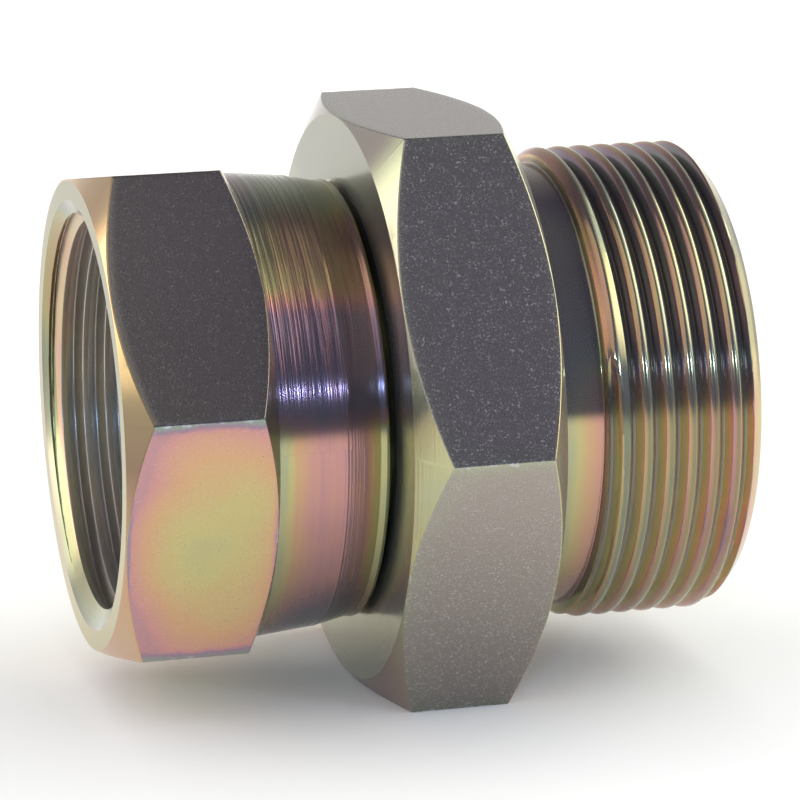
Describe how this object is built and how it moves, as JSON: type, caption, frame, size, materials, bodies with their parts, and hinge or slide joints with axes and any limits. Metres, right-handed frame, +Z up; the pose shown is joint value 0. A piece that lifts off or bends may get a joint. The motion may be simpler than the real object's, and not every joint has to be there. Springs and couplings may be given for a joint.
{
  "type": "threaded pipe adapter",
  "caption": "Yellow-passivated steel pipe adapter with a hexagon body, a male thread with a 24 degree cone seat, and a captive swivel nut with a female thread.",
  "frame": {"origin": "on the pipe axis, in the middle of the body's hexagon", "axes": "+X along the pipe axis towards the male thread; +Z up, normal to a flat of the body's hexagon"},
  "size_m": [0.0555, 0.0578, 0.05],
  "materials": {
    "plated_steel_body": "bright zinc plate with iridescent yellow passivation",
    "plated_steel_nut": "bright zinc plate with iridescent yellow passivation"
  },
  "bodies": {
    "body": {"body": "plated_steel_body"},
    "swivel_nut": {"swivel_nut": "plated_steel_nut"}
  },
  "joints": [
    {"name": "nut_swivel", "type": "hinge", "parent": "body", "child": "swivel_nut", "pos_m": [-0.0185, 0, 0], "axis": [1, 0, 0], "continuous": true}
  ]
}
